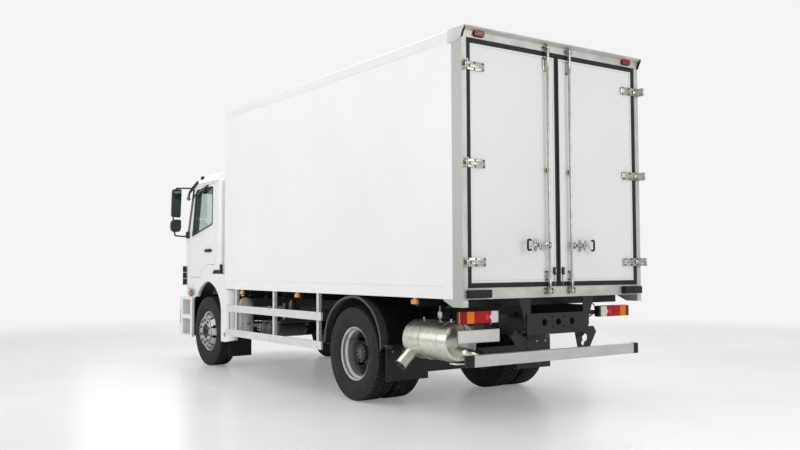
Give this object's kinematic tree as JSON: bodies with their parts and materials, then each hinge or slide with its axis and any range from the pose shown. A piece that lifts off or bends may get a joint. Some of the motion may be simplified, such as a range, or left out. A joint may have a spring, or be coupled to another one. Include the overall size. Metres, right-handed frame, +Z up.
{
  "type": "refrigerated box truck",
  "caption": "Two-axle rigid truck with a tilting day cab, steered front wheels, dual rear wheels and an insulated box body with hinged rear doors.",
  "frame": {"origin": "on the ground under the middle of the truck's outer box", "axes": "+X forward along the truck, +Y to its left, +Z up"},
  "size_m": [7.71, 2.804, 3.767],
  "materials": {
    "body_white": "gloss white paint",
    "panel_white": "smooth white laminate panel",
    "floor_grey": "slip-resistant floor",
    "aluminium_trim": "anodised",
    "stainless": "brushed stainless",
    "chassis_black": "satin black paint",
    "cast_black": "painted casting",
    "wheel_silver": "silver paint",
    "tyre_rubber": "tyre rubber",
    "rubber_black": "black rubber",
    "plastic_black": "grained black plastic",
    "plastic_grey": "grey plastic",
    "tank_aluminium": "mill aluminium",
    "box_grey": "light grey moulding",
    "glass": "tinted safety glass",
    "lamp_red": "lamp lens",
    "lamp_amber": "lamp lens",
    "lamp_clear": "clear lamp lens",
    "seat_fabric": "woven seat fabric",
    "dash_grey": "grained plastic"
  },
  "bodies": {
    "chassis": {"chassis_frame": "chassis_black", "box_bearers": "chassis_black", "rear_axle": "cast_black", "front_axle": "cast_black", "leaf_springs": "cast_black", "driveline": "cast_black", "box_floor": "floor_grey", "box_sides": "panel_white", "box_front_wall": "panel_white", "box_roof": "panel_white", "box_edge_trim": "body_white", "rear_portal": "aluminium_trim", "portal_fittings": "stainless", "cooling_unit": "body_white", "silencer": "stainless", "fuel_tank": "tank_aluminium", "air_tanks": "chassis_black", "side_boxes": "box_grey", "side_guards": "aluminium_trim", "underrun_guard": "aluminium_trim", "rear_buffers": "rubber_black", "tail_lamps": "lamp_red", "marker_lamps": "lamp_amber", "mudguards": "plastic_black", "cab_skirts": "body_white", "front_bumper": "body_white", "steps": "plastic_grey", "headlamps": "lamp_clear"},
    "cab": {"cab_shell": "body_white", "windscreen": "glass", "grille": "plastic_black", "dashboard": "dash_grey", "seats": "seat_fabric", "mirrors": "plastic_black"},
    "cab_door_left": {"cab_door_left": "body_white", "cab_glass_left": "glass"},
    "cab_door_right": {"cab_door_right": "body_white", "cab_glass_right": "glass"},
    "cargo_door_left": {"cargo_door_left": "panel_white", "cargo_seal_left": "rubber_black", "lock_gear_left": "stainless"},
    "cargo_door_right": {"cargo_door_right": "panel_white", "cargo_seal_right": "rubber_black", "lock_gear_right": "stainless"},
    "knuckle_left": {"knuckle_left": "cast_black"},
    "knuckle_right": {"knuckle_right": "cast_black"},
    "track_rod": {"track_rod": "cast_black"},
    "wheel_front_left": {"wheel_front_left": "wheel_silver", "tyre_front_left": "tyre_rubber"},
    "wheel_front_right": {"wheel_front_right": "wheel_silver", "tyre_front_right": "tyre_rubber"},
    "wheels_rear_left": {"wheels_rear_left": "wheel_silver", "tyres_rear_left": "tyre_rubber"},
    "wheels_rear_right": {"wheels_rear_right": "wheel_silver", "tyres_rear_right": "tyre_rubber"}
  },
  "joints": [
    {"name": "cab_tilt", "type": "hinge", "parent": "chassis", "child": "cab", "pos_m": [3.755, 0, 1.008], "axis": [0, 1, 0], "range_deg": [0, 55]},
    {"name": "cab_door_left_swing", "type": "hinge", "parent": "cab", "child": "cab_door_left", "pos_m": [3.343, 1.136, 1.9], "axis": [0, 0, -1], "range_deg": [0, 70]},
    {"name": "cab_door_right_swing", "type": "hinge", "parent": "cab", "child": "cab_door_right", "pos_m": [3.343, -1.136, 1.9], "axis": [0, 0, 1], "range_deg": [0, 70]},
    {"name": "cargo_door_left_swing", "type": "hinge", "parent": "chassis", "child": "cargo_door_left", "pos_m": [-3.84, 1.245, 2.465], "axis": [0, 0, -1], "range_deg": [0, 270]},
    {"name": "cargo_door_right_swing", "type": "hinge", "parent": "chassis", "child": "cargo_door_right", "pos_m": [-3.84, -1.245, 2.465], "axis": [0, 0, 1], "range_deg": [0, 270]},
    {"name": "steer_left", "type": "hinge", "parent": "chassis", "child": "knuckle_left", "pos_m": [2.523, 0.85, 0.522], "axis": [0, 0, 1], "range_deg": [-36, 36]},
    {"name": "steer_right", "type": "hinge", "parent": "chassis", "child": "knuckle_right", "pos_m": [2.523, -0.85, 0.522], "axis": [0, 0, 1], "range_deg": [-36, 36]},
    {"name": "track_rod_pivot", "type": "hinge", "parent": "knuckle_left", "child": "track_rod", "pos_m": [2.308, 0.85, 0.415], "axis": [0, 0, 1], "range_deg": [-36, 36]},
    {"name": "front_left_wheel_spin", "type": "hinge", "parent": "knuckle_left", "child": "wheel_front_left", "pos_m": [2.523, 1.033, 0.522], "axis": [0, 1, 0], "continuous": true},
    {"name": "front_right_wheel_spin", "type": "hinge", "parent": "knuckle_right", "child": "wheel_front_right", "pos_m": [2.523, -1.033, 0.522], "axis": [0, 1, 0], "continuous": true},
    {"name": "rear_left_wheels_spin", "type": "hinge", "parent": "chassis", "child": "wheels_rear_left", "pos_m": [-1.777, 0.9225, 0.522], "axis": [0, 1, 0], "continuous": true},
    {"name": "rear_right_wheels_spin", "type": "hinge", "parent": "chassis", "child": "wheels_rear_right", "pos_m": [-1.777, -0.9225, 0.522], "axis": [0, 1, 0], "continuous": true}
  ],
  "couplings": [
    {"joint": "steer_right", "follows": "steer_left", "ratio": 1},
    {"joint": "track_rod_pivot", "follows": "steer_left", "ratio": -1}
  ]
}
